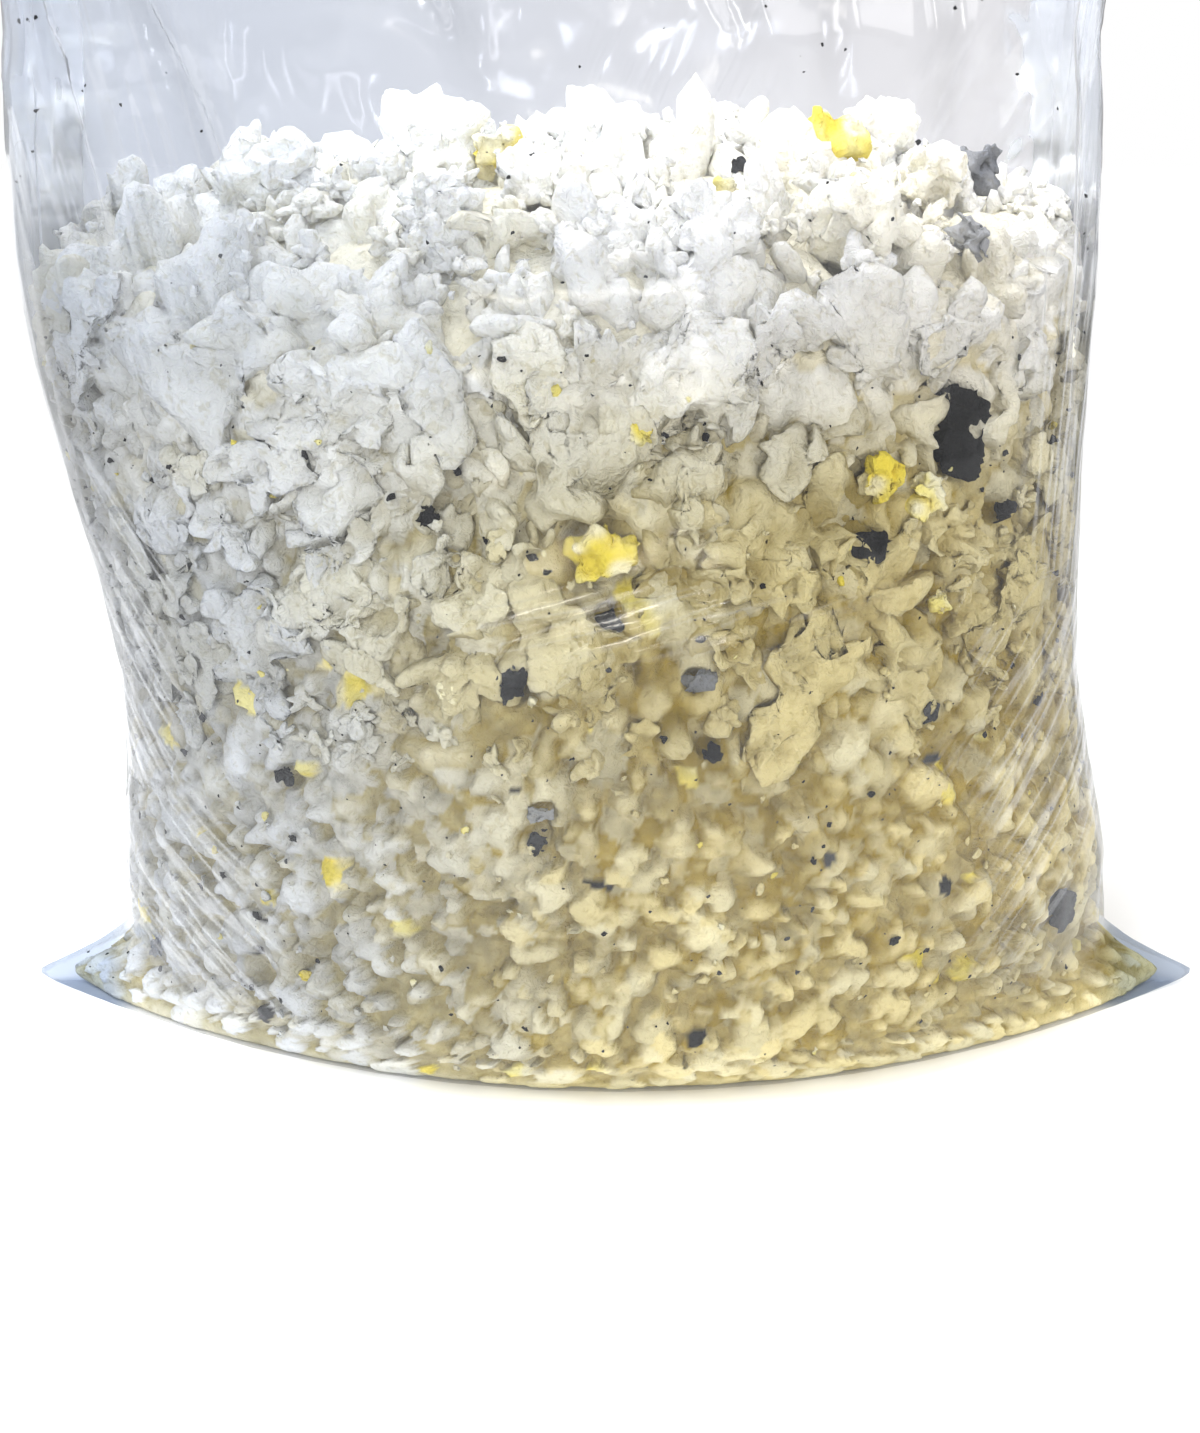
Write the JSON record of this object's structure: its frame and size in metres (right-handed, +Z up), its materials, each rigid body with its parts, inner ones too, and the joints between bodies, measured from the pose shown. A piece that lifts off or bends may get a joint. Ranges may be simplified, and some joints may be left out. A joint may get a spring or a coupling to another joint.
{
  "type": "bag of shredded foam",
  "caption": "Large clear poly bag standing open on its flat foot, pointed ears at its bottom corners, part filled with loose torn foam shreds in white, cream, yellow, grey and charcoal.",
  "frame": {"origin": "on the floor, under the middle of the bag's foot, midway between the tips of its two ears", "axes": "+Z up through the open mouth, +X to the right along the line between the ears, +Y away from the viewer"},
  "size_m": [0.744, 0.38, 0.764],
  "materials": {
    "film": "clear, glossy, crinkled polythene film",
    "packed_foam": "matt packed foam shreds, cream to olive-yellow in the gaps",
    "white_foam": "matt soft open-cell foam, torn",
    "cream_foam": "matt soft open-cell foam, torn",
    "yellow_foam": "matt soft open-cell foam, torn",
    "grey_foam": "matt soft open-cell foam, torn",
    "charcoal_foam": "matt soft open-cell foam, torn"
  },
  "bodies": {
    "root": {"bag_film": "film", "charcoal_shred_01": "charcoal_foam", "charcoal_shred_02": "charcoal_foam", "charcoal_shred_03": "charcoal_foam", "charcoal_shred_04": "charcoal_foam", "charcoal_shred_05": "charcoal_foam", "charcoal_shred_06": "charcoal_foam", "charcoal_shred_07": "charcoal_foam", "charcoal_shred_08": "charcoal_foam", "charcoal_shred_09": "charcoal_foam", "charcoal_shred_10": "charcoal_foam", "charcoal_shred_11": "charcoal_foam", "charcoal_shred_12": "charcoal_foam", "cream_shred_01": "cream_foam", "cream_shred_02": "cream_foam", "cream_shred_03": "cream_foam", "cream_shred_04": "cream_foam", "cream_shred_05": "cream_foam", "cream_shred_06": "cream_foam", "cream_shred_07": "cream_foam", "cream_shred_08": "cream_foam", "cream_shred_09": "cream_foam", "grey_shred_01": "grey_foam", "grey_shred_02": "grey_foam", "grey_shred_03": "grey_foam", "grey_shred_04": "grey_foam", "grey_shred_05": "grey_foam", "packed_shreds": "packed_foam", "white_shred_01": "white_foam", "white_shred_02": "white_foam", "white_shred_03": "white_foam", "white_shred_04": "white_foam", "white_shred_05": "white_foam", "white_shred_06": "white_foam", "white_shred_07": "white_foam", "white_shred_08": "white_foam", "white_shred_09": "white_foam", "white_shred_10": "white_foam", "white_shred_11": "white_foam", "white_shred_12": "white_foam", "white_shred_13": "white_foam", "white_shred_14": "white_foam", "white_shred_15": "white_foam", "white_shred_16": "white_foam", "white_shred_17": "white_foam", "white_shred_18": "white_foam", "yellow_shred_01": "yellow_foam", "yellow_shred_02": "yellow_foam", "yellow_shred_03": "yellow_foam", "yellow_shred_04": "yellow_foam", "yellow_shred_05": "yellow_foam", "yellow_shred_06": "yellow_foam", "yellow_shred_07": "yellow_foam", "yellow_shred_08": "yellow_foam", "yellow_shred_09": "yellow_foam"}
  },
  "joints": []
}
